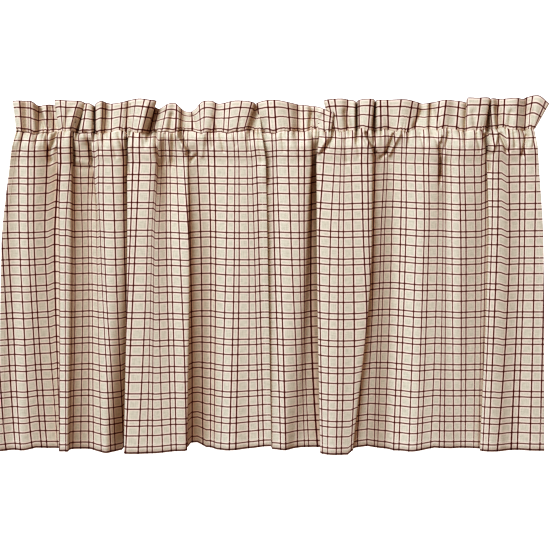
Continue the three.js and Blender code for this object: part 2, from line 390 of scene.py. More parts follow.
# How far the hem hangs above its stated height, by its place along the rod, in millimetres. The lift
# fades upwards.
HEM_LIFTS = np.array([
    [-700, 0],
    [-645, 2],
    [-620, 6],
    [-590, 2],
    [-555, 0],
    [-541, 3],
    [-525, 1],
    [-505, -3],
    [-463, -11],
    [-424, -11],
    [-400, -15],
    [-389, 0],
    [-300, 2],
    [-254, 6],
    [-228, 6],
    [-221, 7],
    [-214, 14],
    [-198, 11],
    [-175, -7],
    [-147, -8],
    [-110, 0],
    [-50, 4],
    [-20, 9],
    [-2, 10],
    [0, 1],
    [170, 0],
    [196, -1],
    [207, 8],
    [217, 10],
    [250, 10],
    [285, -2],
    [322, -11],
    [360, -6],
    [426, 6],
    [470, 2],
    [710, 0],
], dtype=float)

# The rod pocket from its seam up to the gather stitch: height, how far the front and back walls
# stand out, how much of the seam's folds each keeps, and how far the gather has drawn the cloth in.
POCKET_LEVELS = np.array([
    [SEAM_Z, SEAM_OUT, SEAM_OUT, 1.0, 1.0, 0.0],
    [-58, 12, -6, 0.95, 0.5, 0.2],
    [-36, 16, -16, 0.85, 0.15, 0.5],
    [-14, 16, -16, 0.85, 0.15, 0.85],
    [-5, 12, -12, 0.9, 0.3, 0.95],
    [0, 7, 1, 1.0, 1.0, 1.0],
], dtype=float)

# How much cloth lies between the gather stitch and each height of the ruffle, in millimetres.
RUFFLE_LEVELS = np.array([
    [0, 0],
    [7, 6],
    [36, 36],
    [59, 62],
    [76, 77],
], dtype=float)

# The check's repeat, the height of the hem's lowest single line, the cloth taken up in the gather
# stitch and the slack in the pocket's front wall below it, in millimetres.
REPEAT = 70.4
FIRST_LEVEL = 48.5
TAKEN_UP = 14.0
POCKET_SLACK = 8.0

# How much the hem, and the check's level lines at the seam, sink at each millimetre that a fold stands
# out, how much the stitch line climbs at each millimetre along the rod, and the power of the share of
# the way down by which the hem's lifts fade upwards.
HOLLOW_LIFT = 0.03
STITCH_TILT = 0.006
HEM_FADE = 3

# How the ruffle's cloth is shared out along it, by length and by even steps, the rest going by where
# the seam lies below; how much of its tables' depth it takes; and how far in its ends are drawn over.
BY_LENGTH = 0.06
BY_STEPS = 0.02
RUFFLE_DEPTH = 0.82
FLARE_REACH = 60.0

# The ruffle's foot in front of the stitch line, the height over which the small gathers run out above
# the stitch, and the gap between the ruffle's two layers, in millimetres.
RUFFLE_FOOT = 9.0
FOOT_FADE = 8.0
LAYER_GAP = 2.2

# Small gathers at the stitch: depth, fading length downwards and pitch along the cloth, in millimetres,
# the power that sharpens their dips, and the slow drifts of their phase and depth, one row each with
# size, wavelength and share of the panel's turn.
PUCKER_DEPTH = 11.0
PUCKER_REACH = 15.0
PUCKER_PITCH = 18.0
PUCKER_SHARPNESS = 0.8
PHASE_DRIFTS = ((0.55, 97.0, 1.0), (0.35, 53.0, 2.0))
DIP_DEPTH = 0.65
DIP_DRIFT = (0.35, 71.0, 3.0)

# How the stitch line wavers: waves with height, length of one radian and share of the panel's turn,
# their fading length downwards, how far a dip lowers the line, in millimetres, and the dip that leaves
# it level.
WAVERS = ((2.4, 31.0, 5.0), (2.0, 13.0, 1.0), (1.2, 6.0, 2.0))
WAVER_REACH = 14.0
DIP_HANG = 3.0
DIP_MEAN = 0.3

# Rows and columns of the cloth grid, the powers that crowd its rows towards the seam, the stitch and
# the ruffle's foot, and the samples taken for each fold where lengths and lines are measured.
COLUMNS = 480
SKIRT_ROWS = 62
POCKET_ROWS = 38
RUFFLE_ROWS = 24
BACK_ROWS = 10
SKIRT_CROWDING = 1.15
POCKET_CROWDING = 1.6
RUFFLE_CROWDING = 1.5
LENGTH_SAMPLES = 40
LINE_SAMPLES = 60

CARRIED_ON = 9.0

# The tables of each panel, and the turn that sets its small waves.
PANELS = {
    "left": (LEFT_FOLDS, LEFT_RUFFLE, LEFT_CREASES, LEFT_LINES, LEFT_LIFTS, 0.4),
    "right": (RIGHT_FOLDS, RIGHT_RUFFLE, RIGHT_CREASES, RIGHT_LINES, RIGHT_LIFTS, 1.9),
}

# The check along one direction: the places of a pair's two lines as shares of a repeat after the
# single line, how soft a line's edges are as a share of its half width, and how much the upright and
# the level lines cover.
PAIR_FIRST = 0.364
PAIR_SECOND = 0.577
LINE_SOFTNESS = 0.35
LINE_COVERS = (1.0, 0.92)

# The paler yarns beside a line: their reach in half widths of it, their softness and their share.
PALE_REACH = 2.25
PALE_SOFTNESS = 0.6
PALE_SHARE = 0.95

# Turned hems along the bottom and the sides, the width of a hem's inner edge, and the stitches along
# it: their width, the distance from one to the next, in metres, and the share of it that is thread.
BOTTOM_HEM = 0.026
SIDE_HEM = 0.012
HEM_EDGE = 0.0012
STITCH_WIDTH = 0.0009
STITCH_LENGTH = 0.0036
STITCH_SHARE = 0.65
THREAD = (0.78, 0.71, 0.58)

# The weave: how many slubs a metre holds across and down for each yarn direction, the range of their
# sum and the tones that it is mapped to, and the strength and depth of the weave's and hems' relief.
SLUBS = ((420.0, 60.0), (60.0, 420.0))
SLUB_DETAIL = 3.0
SLUB_RANGE = (0.7, 1.3)
SLUB_TONES = (0.86, 1.10)
WEAVE_RELIEF = (0.25, 0.0006)
HEM_RELIEF = (0.6, 0.0008)
ROUGHNESS = 0.92
SPECULAR = 0.05

# Painted shade between close folds: a warm dark tint multiplied into the cloth where ambient occlusion
# finds nearby folds, standing in for the shade in the hollows. The rays it takes, how far it looks for
# folds, in metres, the range of openness over which it fades, and the heights on the cloth between
# which it falls to a share of itself in the heading.
PAINTED_SHADE_SAMPLES = 12
PAINTED_SHADE_DISTANCE = 0.085
PAINTED_SHADE_RANGE = (0.15, 0.93)
HEADING_SHADE_RANGE = (0.71, 0.79)
HEADING_SHADE_SHARE = 0.4

# Floor and camera, in metres. The lens is in millimetres on a sensor of the width below it, and the
# shift is a share of the picture's width.
FLOOR_Z = -2.0
FLOOR_HALF = 1.0
FLOOR_COLOUR = (0.85, 0.85, 0.84)
CAMERA_DISTANCE = 2.6
CAMERA_PITCH = np.radians(6.0)
CAMERA_X = 0.0078
AIM_Z = -0.189
LENS = 66.46
SENSOR_WIDTH = 36.0
SHIFT_Y = -70.0 / 550.0

# Lights: the surround's fill, the sun, and soft square lights with place, aim, size, power and colour.
FILL_COLOUR = (1.0, 0.585, 0.40)
FILL_STRENGTH = 0.20
SUN_STRENGTH = 2.2
SUN_ANGLE = np.radians(26.0)
SUN_COLOUR = (0.63, 0.80, 0.96)
SUN_TURN = (np.radians(58.0), 0.0, np.radians(-34.0))
SOFT_LIGHTS = {
    "top": ((-0.5, -1.2, 1.0), (-0.1, 0.0, 0.0), 1.0, 5.0, (0.80, 0.92, 1.0)),
    "front": ((0.2, -2.4, 0.4), (0.0, 0.0, -0.2), 1.5, 4.0, (0.95, 0.88, 0.82)),
    "back": ((0.5, 2.2, 0.5), (0.0, 0.0, -0.35), 1.8, 22.0, (0.66, 0.82, 0.96)),
}


def through_heights(seam, mid, hem, share):
    """Cubic through three heights with a flat turn at the middle one wherever the slope changes
    sign, and the harmonic mean of the two slopes there otherwise."""
    seam, mid, hem = (values[None, :] for values in (seam, mid, hem))
    share = share[:, None]
    above = (mid - seam) / MID_SHARE
    below = (hem - mid) / (1.0 - MID_SHARE)
    same = above * below > 0.0
    total = np.where(same, above + below, 1.0)
    middle = np.where(same, 2.0 * above * below / total, 0.0)
    upper = share < MID_SHARE
    span = np.where(upper, MID_SHARE, 1.0 - MID_SHARE)
    s = np.where(upper, share, share - MID_SHARE) / span
    start = np.where(upper, seam, mid)
    end = np.where(upper, mid, hem)
    leave = np.where(upper, above, middle) * span
    arrive = np.where(upper, middle, below) * span
    rise = s * s * (3.0 - 2.0 * s)
    return start + (end - start) * rise + leave * s * (1.0 - s) ** 2 - arrive * s * s * (1.0 - s)


def spline_at(points, places):
    """Centripetal Catmull-Rom spline: each row of points is one curve, and a place is a point's
    number plus a share of the way to the next. End points are continued in a straight line."""
    first = 2.0 * points[:, :1] - points[:, 1:2]
    last = 2.0 * points[:, -1:] - points[:, -2:-1]
    padded = np.concatenate([first, points, last], axis=1)
    step = np.linalg.norm(np.diff(padded, axis=1), axis=2, keepdims=True) ** 0.5
    index = np.clip(np.floor(places).astype(int), 0, points.shape[1] - 2)
    s = (places - index)[None, :, None]
    p0, p1, p2, p3 = (padded[:, index + k] for k in range(4))
    d0, d1, d2 = (step[:, index + k] for k in range(3))
    m1 = ((p1 - p0) / d0 - (p2 - p0) / (d0 + d1) + (p2 - p1) / d1) * d1
    m2 = ((p2 - p1) / d1 - (p3 - p1) / (d1 + d2) + (p3 - p2) / d2) * d1
    cubic = 2.0 * p1 - 2.0 * p2 + m1 + m2
    square = -3.0 * p1 + 3.0 * p2 - 2.0 * m1 - m2
    return p1 + m1 * s + square * s ** 2 + cubic * s ** 3


def fold_sections(folds, share, places):
    """The panel's cross-section at each share of its height: fold rows carried through the three
    heights, then a spline across them. Returns x and out, in millimetres."""
    x = through_heights(folds[:, 0], folds[:, 2], folds[:, 4], share)
    out = through_heights(folds[:, 1], folds[:, 3], folds[:, 5], share)
    out = out + SEAM_OUT * (1.0 - share[:, None])
    curves = spline_at(np.stack([x, out], axis=2), places)
    return curves[:, :, 0], curves[:, :, 1]


def share_along(curves):
    """Share of the whole length at each point of some curves, averaged over the curves."""
    length = np.linalg.norm(np.diff(curves, axis=1), axis=2)
    along = np.concatenate([np.zeros((len(curves), 1)), np.cumsum(length, axis=1)], axis=1)
    return (along / along[:, -1:]).mean(axis=0)


def even_places(folds):
    """Spline places that are evenly spaced along the cloth, averaged over seam, middle and hem."""
    fine = np.linspace(0.0, len(folds) - 1.0, LENGTH_SAMPLES * len(folds))
    x, out = fold_sections(folds, np.array([0.0, MID_SHARE, 1.0]), fine)
    share = share_along(np.stack([x, out], axis=2))
    return np.interp(np.linspace(0.0, 1.0, COLUMNS), share, fine)


def line_places(folds, lines):
    """Spline places of the check's tabled lines at seam, middle and hem: where the section crosses
    each line's x, the crossing that stands out the most, and never to the left of the line before."""
    fine = np.linspace(0.0, len(folds) - 1.0, LINE_SAMPLES * len(folds))
    x, out = fold_sections(folds, np.array([0.0, MID_SHARE, 1.0]), fine)
    found = np.empty((3, len(lines)))
    for height in range(3):
        for row, line_x in enumerate(lines[:, 1 + height]):
            side = x[height] > line_x
            crossing = np.flatnonzero(side[1:] != side[:-1])
            best = crossing[np.argmax(out[height][crossing])]
            found[height, row] = fine[best]
    return np.maximum.accumulate(found, axis=1)


def cloth_across(x, out, places, lines, marks, share):
    """Distance across the cloth, in repeats: counted between the check's tabled lines in
    proportion to the length along the section, and by the true repeat beyond the outer ones."""
    marks = through_heights(*marks, share)
    length = np.hypot(np.diff(x), np.diff(out))
    along = np.concatenate([np.zeros((len(x), 1)), np.cumsum(length, axis=1)], axis=1)
    number = lines[:, 0]
    number = np.concatenate([[number[0] - CARRIED_ON], number, [number[-1] + CARRIED_ON]])
    margin = CARRIED_ON * REPEAT
    across = np.empty_like(along)
    for row in range(len(along)):
        at = np.interp(marks[row], places, along[row])
        at = np.concatenate([[at[0] - margin], at, [at[-1] + margin]])
        across[row] = np.interp(along[row], at, number)
    return across


def ruffle_lines(ruffle, share, seam_x):
    """The gather stitch and the ruffle's top edge at shares along the cloth: splines through the
    ruffle's rows, shared out a little by length and by even steps, and mostly by where the seam lies
    below, whose ends are drawn over the stitch's ends. Returns stitch points (x, out) and top points
    (x, out, z)."""
    fine = np.linspace(0.0, len(ruffle) - 1.0, LENGTH_SAMPLES * len(ruffle))
    depth = np.array([1.0, RUFFLE_DEPTH])
    both = np.stack([ruffle[:, 0:2] * depth, ruffle[:, 2:4] * depth])
    curves = spline_at(both, fine)
    steady = np.linspace(0.0, 1.0, len(fine))
    below = np.maximum.accumulate(seam_x) + np.linspace(0.0, 1.0, len(seam_x))
    above = np.maximum.accumulate(curves[0, :, 0])
    left_gap, right_gap = below[0] - above[0], below[-1] - above[-1]
    nearby = left_gap * np.exp((above[0] - above) / FLARE_REACH)
    above = above + nearby + right_gap * np.exp((above - above[-1]) / FLARE_REACH)
    match = np.interp(above, below, share)
    by_seam = 1.0 - BY_STEPS - BY_LENGTH
    mixed = BY_LENGTH * share_along(curves) + by_seam * match + BY_STEPS * steady
    places = np.interp(share, mixed, fine)
    stitch, top = spline_at(both, places)
    height = spline_at(ruffle[None, :, [2, 4]], places)[0, :, 1]
    return stitch, np.column_stack([top, height])


def grid_normals(grid):
    """Unit normals of a grid, facing the front: across times up of the neighbouring points."""
    across = np.gradient(grid, axis=1)
    up = np.gradient(grid, axis=0)
    normal = np.cross(across, up)
    return normal / np.linalg.norm(normal, axis=2, keepdims=True)


def pucker_wave(cloth, turn):
    """Small uneven gathers along the cloth, from 0 at a rounded crest to the dip's depth in a sharp
    dip: one less a power of a sine whose phase drifts, times a depth that drifts too."""
    phase = cloth / PUCKER_PITCH
    for size, wavelength, share in PHASE_DRIFTS:
        phase = phase + size * np.sin(2 * np.pi * cloth / wavelength + share * turn)
    size, wavelength, share = DIP_DRIFT
    depth = DIP_DEPTH + size * np.sin(2 * np.pi * cloth / wavelength + share * turn)
    return depth * (1.0 - np.abs(np.sin(np.pi * phase)) ** PUCKER_SHARPNESS)


def stitch_waver(cloth, stitch_x, turn):
    """How far the stitch line lies above its mean height along the cloth: waves, added to a tilt."""
    waver = stitch_x * STITCH_TILT
    for height, radian, share in WAVERS:
        waver = waver + height * np.sin(cloth / radian + share * turn)
    return waver


def crease_out(points, creases):
    """How far the listed creases move the cloth out: for each crease, a bell over the distance from
    its line in the x-z plane, times its height, all added."""
    moved = np.zeros(points.shape[:2])
    for start_x, start_z, end_x, end_z, reach, out in creases:
        along_x, along_z = end_x - start_x, end_z - start_z
        from_x, from_z = points[:, :, 0] - start_x, points[:, :, 2] - start_z
        share = (from_x * along_x + from_z * along_z) / (along_x ** 2 + along_z ** 2)
        share = np.clip(share, 0.0, 1.0)
        away = (from_x - share * along_x) ** 2 + (from_z - share * along_z) ** 2
        moved += out * np.exp(-away / reach ** 2)
    return moved


def across_grid(across, top):
    """Distance across the cloth for every row of the grid: the seam's row is carried up the front of
    the pocket and down its back, and the ruffle's rows are shared out along its top edge."""
    steps = np.hypot(np.diff(top[:, 0]), np.diff(top[:, 1]))
    length = np.concatenate([[0.0], np.cumsum(steps)])
    at_top = across[-1, 0] + length / length[-1] * (across[-1, -1] - across[-1, 0])
    ruffle = np.repeat(at_top[None], RUFFLE_ROWS, axis=0)
    front = np.repeat(across[-1:], POCKET_ROWS, axis=0)
    back = np.repeat(across[-1:], BACK_ROWS + 1, axis=0)
    return np.concatenate([across, front, ruffle, ruffle[::2], back])


def down_grid(points, cloth, z, levels, rise, out, skirt_share, lifts):
    """Distance along the cloth from the hem for every point of the grid: the hung height up to the
    stitch with the pocket's slack, the ruffle's own cloth above it, and beyond the ruffle's top the
    middle length of the steps. Up to the stitch the sinking folds and the gather's lifts are added,
    fading to nothing at the hem."""
    made = SKIRT_ROWS + POCKET_ROWS
    slack = POCKET_SLACK * (1.0 - levels / SEAM_Z) ** 2
    hung = np.concatenate([z, levels + slack]) - HEM_Z
    heights = rise[:, 0] * RUFFLE_LEVELS[-1, 0]
    climb = np.interp(heights, RUFFLE_LEVELS[:, 0], RUFFLE_LEVELS[:, 1])
    gathered = hung[-1] + TAKEN_UP + climb
    drop = np.median(np.linalg.norm(np.diff(points, axis=0), axis=2), axis=1)
    beyond = gathered[-1] + np.cumsum(drop[made + RUFFLE_ROWS - 1:])
    down = np.concatenate([hung, gathered, beyond])
    down = np.repeat(down[:, None], COLUMNS, axis=1)
    lifted = np.interp(cloth[:made] / REPEAT, lifts[:, 0], lifts[:, 1])
    standing = np.concatenate([out, np.repeat(out[-1:], POCKET_ROWS, axis=0)]) - SEAM_OUT
    fading = 1.0 - np.concatenate([skirt_share, np.zeros(POCKET_ROWS)])[:, None]
    down[:made] += fading * (HOLLOW_LIFT * standing - lifted)
    return down


def curtain_cloth(folds, ruffle, creases, lines, lifts, turn):
    """One continuous cloth from the hem up the front to the ruffle's top, over it and down the
    back to the pocket seam, with the hem lifted by its table. Returns the points, and the cloth's own
    coordinates across and down, in metres."""
    places = even_places(folds)
    skirt_share = np.linspace(1.0, 0.0, SKIRT_ROWS) ** SKIRT_CROWDING
    x, out = fold_sections(folds, skirt_share, places)
    z = HEM_Z + (SEAM_Z - HEM_Z) * (1.0 - skirt_share)
    hem_lift = np.interp(x[0], HEM_LIFTS[:, 0], HEM_LIFTS[:, 1])
    raised = hem_lift * skirt_share[:, None] ** HEM_FADE
    sunk = HOLLOW_LIFT * out * skirt_share[:, None]
    skirt = np.stack([x, -out, z[:, None] + raised - sunk], axis=2)
    across = cloth_across(x, out, places, lines, line_places(folds, lines), skirt_share) * REPEAT
    seam_x, seam_fold = x[-1], out[-1] - SEAM_OUT
    length = np.concatenate([[0.0], np.cumsum(np.hypot(np.diff(x[-1]), np.diff(out[-1])))])
    stitch, top = ruffle_lines(ruffle, length / length[-1], seam_x)
    puckers = pucker_wave(length, turn)
    waver = stitch_waver(length, stitch[:, 0], turn)

    def wall(levels, out_column, fold_column):
        """A pocket wall: bulge plus the kept share of the seam's folds, drawn in by the gather to
        the stitch line, with gathers that fade downwards."""
        columns = (out_column, fold_column, 5)
        bulge, kept, gather = (np.interp(levels, POCKET_LEVELS[:, 0], POCKET_LEVELS[:, k])[:, None]
                               for k in columns)
        wall_x = seam_x + (stitch[:, 0] - seam_x) * gather
        gathers = PUCKER_DEPTH * np.exp(levels[:, None] / PUCKER_REACH) * puckers
        fold = seam_fold + (stitch[:, 1] - seam_fold) * np.clip(gather * 2.0 - 1.0, 0.0, 1.0)
        near = np.exp(levels[:, None] / WAVER_REACH)
        height = levels[:, None] + near * (waver + DIP_HANG * (DIP_MEAN - puckers))
        return np.stack([wall_x, gathers - bulge - kept * fold, height], axis=2)

    levels = SEAM_Z * np.linspace(1.0, 0.0, POCKET_ROWS + 1)[1:] ** POCKET_CROWDING
    front = wall(levels, 1, 3)
    rise = np.linspace(0.0, 1.0, RUFFLE_ROWS + 1)[1:, None] ** RUFFLE_CROWDING
    frill_x = front[-1, :, 0] + (top[:, 0] - front[-1, :, 0]) * rise
    foot_y = -stitch[:, 1] - RUFFLE_FOOT
    fading = np.exp(-top[:, 2] * rise / FOOT_FADE)
    frill_y = foot_y + (-top[:, 1] - foot_y) * rise * (2.0 - rise)
    frill_y = frill_y + (front[-1, :, 1] - foot_y) * fading
    frill_z = front[-1, :, 2] * (1.0 - rise) + top[:, 2] * rise
    frill = np.stack([frill_x, frill_y, frill_z], axis=2)
    front_side = np.concatenate([skirt, front, frill], axis=0)
    front_side[:, :, 1] -= crease_out(front_side, creases)
    normals = grid_normals(front_side)
    behind = front_side[-RUFFLE_ROWS:][::-1] - LAYER_GAP * normals[-RUFFLE_ROWS:][::-1]
    back = wall(np.linspace(0.0, SEAM_Z, BACK_ROWS + 1), 2, 4)
    lowered = (back[:, :, 2] / SEAM_Z).clip(0.0, 1.0)
    back[:, :, 1] += LAYER_GAP - lowered * crease_out(back, creases)
    points = np.concatenate([front_side, behind[::2], back], axis=0)
    cloth = across_grid(across, top)
    down = down_grid(points, cloth, z, levels, rise, out, skirt_share, lifts)
    return points * MM, cloth * MM, down * MM


def add_uv(mesh, name, u, v, loops):
    """Adds a UV map that gives each corner of the mesh its vertex's u and v."""
    corners = np.stack([u.ravel(), v.ravel()], axis=1)[loops]
    layer = mesh.uv_layers.new(name=name)
    layer.uv.foreach_set("vector", corners.ravel().astype(np.float32))


def grid_mesh(name, points, across, down):
    """A quad grid as a mesh object with two UV maps in metres: the cloth's own coordinates, and for
    the hems the distance to the nearest side edge and to the hem."""
    rows, columns = points.shape[:2]
    corner = np.arange(rows * columns).reshape(rows, columns)
    quads = np.stack([corner[:-1, :-1], corner[:-1, 1:], corner[1:, 1:], corner[1:, :-1]], axis=2)
    mesh = bpy.data.meshes.new(name)
    mesh.from_pydata(points.reshape(-1, 3), [], quads.reshape(-1, 4).tolist())
    mesh.polygons.foreach_set("use_smooth", np.ones(len(mesh.polygons), dtype=bool))
    loops = np.empty(len(mesh.loops), dtype=np.int32)
    mesh.loops.foreach_get("vertex_index", loops)
    steps = np.linalg.norm(np.diff(points, axis=1), axis=2)
    walked = np.concatenate([np.zeros((rows, 1)), np.cumsum(steps, axis=1)], axis=1)
    nearest = np.minimum(walked, walked[:, -1:] - walked)
    add_uv(mesh, "cloth", across, down, loops)
    add_uv(mesh, "hems", nearest, down, loops)
    mesh.update()
    piece = bpy.data.objects.new(name, mesh)
    bpy.context.collection.objects.link(piece)
    return piece


class TierCurtainCloth(bpy.types.PropertyGroup):
    """Sizes and colours of the cloth, and the colour of the painted shade between its close folds."""

    repeat: bpy.props.FloatProperty(
        name="Check repeat", description="Distance from one check to the next",
        default=REPEAT * MM, unit="LENGTH")
    line: bpy.props.FloatProperty(
        name="Line width", description="Width of one dark line of the check",
        default=0.0033, unit="LENGTH")
    thickness: bpy.props.FloatProperty(
        name="Thickness", description="Thickness of the cloth", default=0.0012, unit="LENGTH")
    ground: bpy.props.FloatVectorProperty(
        name="Ground", description="Colour of the plain cloth",
        subtype="COLOR", default=(0.69, 0.63, 0.50))
    pale: bpy.props.FloatVectorProperty(
        name="Pale yarns", description="Colour of the cloth close beside its lines",
        subtype="COLOR", default=(0.99, 0.82, 0.695))
    # Colour of the painted shade that darkens the cloth between close folds.
    painted_shade: bpy.props.FloatVectorProperty(
        name="Hollows", description="Tint of the cloth between close folds",
        subtype="COLOR", default=(0.65, 0.455, 0.31))
    upright: bpy.props.FloatVectorProperty(
        name="Upright lines", description="Colour of the lines that run down the cloth",
        subtype="COLOR", default=(0.10, 0.004, 0.001))
    level: bpy.props.FloatVectorProperty(
        name="Level lines", description="Colour of the lines that run across the cloth",
        subtype="COLOR", default=(0.095, 0.005, 0.001))


def feed(links, socket, value):
    """Links an input to another node's output, or sets it to a plain value."""
    if isinstance(value, bpy.types.NodeSocket):
        links.new(value, socket)
    else:
        socket.default_value = value


def math_node(nodes, links, operation, *values):
    """A math node with one or two inputs, each a socket or a number."""
    node = nodes.new("ShaderNodeMath")
    node.operation = operation
    for socket, value in zip(node.inputs, values):
        feed(links, socket, value)
    return node.outputs[0]


def map_range(nodes, links, value, source, target):
    """Maps a value from one range to another in a straight line, clamped at both ends."""
    node = nodes.new("ShaderNodeMapRange")
    feed(links, node.inputs["Value"], value)
    for key, limit in zip(("From Min", "From Max", "To Min", "To Max"), (*source, *target)):
        node.inputs[key].default_value = limit
    return node.outputs[0]


def mix_colours(nodes, links, share, first, second, blend="MIX"):
    """Blends the second colour over the first by a share."""
    node = nodes.new("ShaderNodeMix")
    node.data_type = "RGBA"
    node.blend_type = blend
    for key, value in (("Factor", share), ("A", first), ("B", second)):
        feed(links, node.inputs[key], value)
    return node.outputs["Result"]


def uv_split(nodes, links, name):
    """A UV map's node, and its two coordinates apart."""
    uv = nodes.new("ShaderNodeUVMap")
    uv.uv_map = name
    split = nodes.new("ShaderNodeSeparateXYZ")
    links.new(uv.outputs["UV"], split.inputs[0])
    return uv.outputs["UV"], split.outputs[0], split.outputs[1]


def relief(nodes, links, height, strength_and_depth, normal=None):
    """A bump of one height over a normal."""
    node = nodes.new("ShaderNodeBump")
    node.inputs["Strength"].default_value, node.inputs["Distance"].default_value = strength_and_depth
    links.new(height, node.inputs["Height"])
    if normal is not None:
        links.new(normal, node.inputs["Normal"])
    return node.outputs["Normal"]


def check_ramp(nodes, links, source, half_width, softness):
    """Line strength along one direction: a ramp over one repeat with a narrow peak at the single
    line and at each of the pair."""
    ramp = nodes.new("ShaderNodeValToRGB")
    stops = ramp.color_ramp
    stops.interpolation = "LINEAR"
    soft = half_width * softness
    marks = [(0.0, 1.0), (half_width - soft, 1.0), (half_width + soft, 0.0)]
    for centre in (PAIR_FIRST, PAIR_SECOND):
        marks += [(centre - half_width - soft, 0.0), (centre - half_width + soft, 1.0),
                  (centre + half_width - soft, 1.0), (centre + half_width + soft, 0.0)]
    marks += [(1.0 - half_width - soft, 0.0), (1.0 - half_width + soft, 1.0), (1.0, 1.0)]
    while len(stops.elements) < len(marks):
        stops.elements.new(1.0)
    for element, (place, value) in zip(stops.elements, marks):
        element.position = place
        element.color = (value, value, value, 1.0)
    links.new(source, ramp.inputs["Fac"])
    return ramp.outputs["Color"]


def hem_and_stitches(nodes, links):
    """Two masks from the hems' UV map: 1 inside a turned hem, and 1 on the dashes of the stitch line
    just inside its inner edge."""
    _, from_side, from_hem = uv_split(nodes, links, "hems")
    past_side = math_node(nodes, links, "SUBTRACT", from_side, SIDE_HEM)
    past_hem = math_node(nodes, links, "SUBTRACT", from_hem, BOTTOM_HEM)
    past = math_node(nodes, links, "MINIMUM", past_side, past_hem)
    turned = map_range(nodes, links, past, (0.0, HEM_EDGE), (1.0, 0.0))
    inside = math_node(nodes, links, "ADD", past, HEM_EDGE)
    away = math_node(nodes, links, "ABSOLUTE", inside)
    near = math_node(nodes, links, "LESS_THAN", away, 0.5 * STITCH_WIDTH)
    along = math_node(nodes, links, "ADD", from_side, from_hem)
    turns = math_node(nodes, links, "DIVIDE", along, STITCH_LENGTH)
    share = math_node(nodes, links, "FRACT", turns)
    dash = math_node(nodes, links, "LESS_THAN", share, STITCH_SHARE)
    return turned, math_node(nodes, links, "MULTIPLY", near, dash)


def slub_tone(nodes, links, uv):
    """The weave's uneven yarns: noise stretched along each yarn direction, added."""
    tone = None
    for across, down in SLUBS:
        mapping = nodes.new("ShaderNodeMapping")
        mapping.inputs["Scale"].default_value = (across, down, 1.0)
        links.new(uv, mapping.inputs["Vector"])
        noise = nodes.new("ShaderNodeTexNoise")
        noise.inputs["Scale"].default_value = 1.0
        noise.inputs["Detail"].default_value = SLUB_DETAIL
        links.new(mapping.outputs[0], noise.inputs["Vector"])
        slub = noise.outputs["Fac"]
        tone = slub if tone is None else math_node(nodes, links, "ADD", tone, slub)
    return tone


def painted_shade_share(nodes, links, down):
    """How much painted shade a point gets: by how closed in it is among the folds, and less in the
    heading.
    """
    # Painted shade: ambient occlusion sets how much darker the cloth is painted between close folds.
    painted_shade = nodes.new("ShaderNodeAmbientOcclusion")
    painted_shade.samples = PAINTED_SHADE_SAMPLES
    painted_shade.inputs["Distance"].default_value = PAINTED_SHADE_DISTANCE
    closed = map_range(nodes, links, painted_shade.outputs["AO"], PAINTED_SHADE_RANGE, (1.0, 0.0))
    heading = map_range(nodes, links, down, HEADING_SHADE_RANGE, (1.0, HEADING_SHADE_SHARE))
    return math_node(nodes, links, "MULTIPLY", closed, heading)


def check_cloth_material(name, cloth, first_upright, first_level):
    """Woven check: the cloth UV map is cut into repeats each way, and ramps draw the lines and the
    paler yarns beside them. Noise gives the heather of the ground and the relief of the weave. Thread
    shows along the hems, and painted shade darkens the cloth between close folds."""
    material = bpy.data.materials.new(name)
    material.use_nodes = True
    nodes, links = material.node_tree.nodes, material.node_tree.links
    shader = nodes["Principled BSDF"]
    shader.inputs["Roughness"].default_value = ROUGHNESS
    shader.inputs["Specular IOR Level"].default_value = SPECULAR
    uv, across, down = uv_split(nodes, links, "cloth")
    half = 0.5 * cloth.line / cloth.repeat
    strength, beside = [], []
    for place, start in ((across, first_upright), (down, first_level)):
        moved = math_node(nodes, links, "SUBTRACT", place, start)
        turns = math_node(nodes, links, "DIVIDE", moved, cloth.repeat)
        share = math_node(nodes, links, "FRACT", turns)
        strength.append(check_ramp(nodes, links, share, half, LINE_SOFTNESS))
        beside.append(check_ramp(nodes, links, share, half * PALE_REACH, PALE_SOFTNESS))
    tone = slub_tone(nodes, links, uv)
    heather = map_range(nodes, links, tone, SLUB_RANGE, SLUB_TONES)
    colour = mix_colours(nodes, links, 1.0, (*cloth.ground, 1.0), heather, "MULTIPLY")
    nearest = math_node(nodes, links, "MAXIMUM", *beside)
    paler = math_node(nodes, links, "MULTIPLY", nearest, PALE_SHARE)
    colour = mix_colours(nodes, links, paler, colour, (*cloth.pale, 1.0))
    for line_strength, paint, cover in zip(strength, (cloth.upright, cloth.level), LINE_COVERS):
        amount = math_node(nodes, links, "MULTIPLY", line_strength, cover)
        colour = mix_colours(nodes, links, amount, colour, (*paint, 1.0))
    turned, stitched = hem_and_stitches(nodes, links)
    colour = mix_colours(nodes, links, stitched, colour, (*THREAD, 1.0))
    # Painted shade: the colour is multiplied by a warm dark tint where the folds close in.
    painted_shade_amount = painted_shade_share(nodes, links, down)
    colour = mix_colours(nodes, links, painted_shade_amount, colour, (*cloth.painted_shade, 1.0), "MULTIPLY")
    links.new(colour, shader.inputs["Base Color"])
    weave = relief(nodes, links, tone, WEAVE_RELIEF)
    links.new(relief(nodes, links, turned, HEM_RELIEF, weave), shader.inputs["Normal"])
    return material


